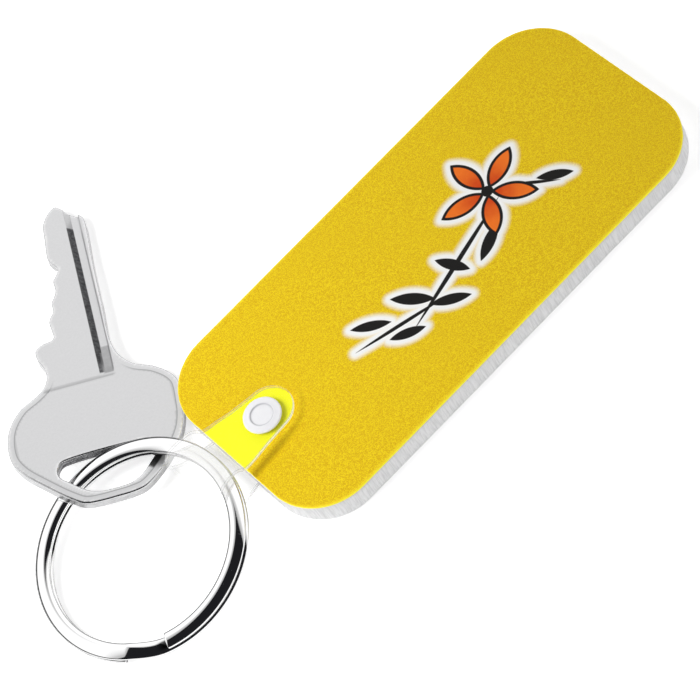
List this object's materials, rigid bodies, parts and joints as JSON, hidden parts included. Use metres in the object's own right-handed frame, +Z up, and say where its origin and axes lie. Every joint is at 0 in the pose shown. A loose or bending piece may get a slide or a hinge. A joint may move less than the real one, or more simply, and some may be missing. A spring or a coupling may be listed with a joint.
{
  "type": "soft pvc keychain",
  "caption": "Soft foam key tag with a yellow vinyl face, a clear riveted strap, a split ring and a house key.",
  "frame": {"origin": "centre of the tag's underside, which lies on the surface", "axes": "+X along the tag away from the ring, +Y across the tag towards the key, +Z up out of the printed face"},
  "size_m": [0.1068, 0.0712, 0.0068],
  "materials": {
    "white_foam": "matte closed-cell foam",
    "yellow_vinyl": "fine suede-like grain",
    "clear_pvc": "clear flexible sheet",
    "white_plastic": "smooth",
    "nickel_chrome": "polished plate",
    "key_steel": "satin nickel"
  },
  "bodies": {
    "tag": {"foam_core": "white_foam", "front_skin": "yellow_vinyl", "strap": "clear_pvc", "rivet_post": "white_plastic", "rivet_cap": "white_plastic"},
    "ring": {"split_ring": "nickel_chrome"},
    "key": {"house_key": "key_steel"}
  },
  "joints": [
    {"name": "ring_swing", "type": "hinge", "parent": "tag", "child": "ring", "pos_m": [-0.04055, 0.0012, 0.00462], "axis": [0, 1, 0], "range_deg": [0, 85]},
    {"name": "key_roll", "type": "hinge", "parent": "ring", "child": "key", "pos_m": [-0.04832, 0.01443, 0.00356], "axis": [0.4661, 0.8837, -0.0436], "range_deg": [0, 100]}
  ]
}
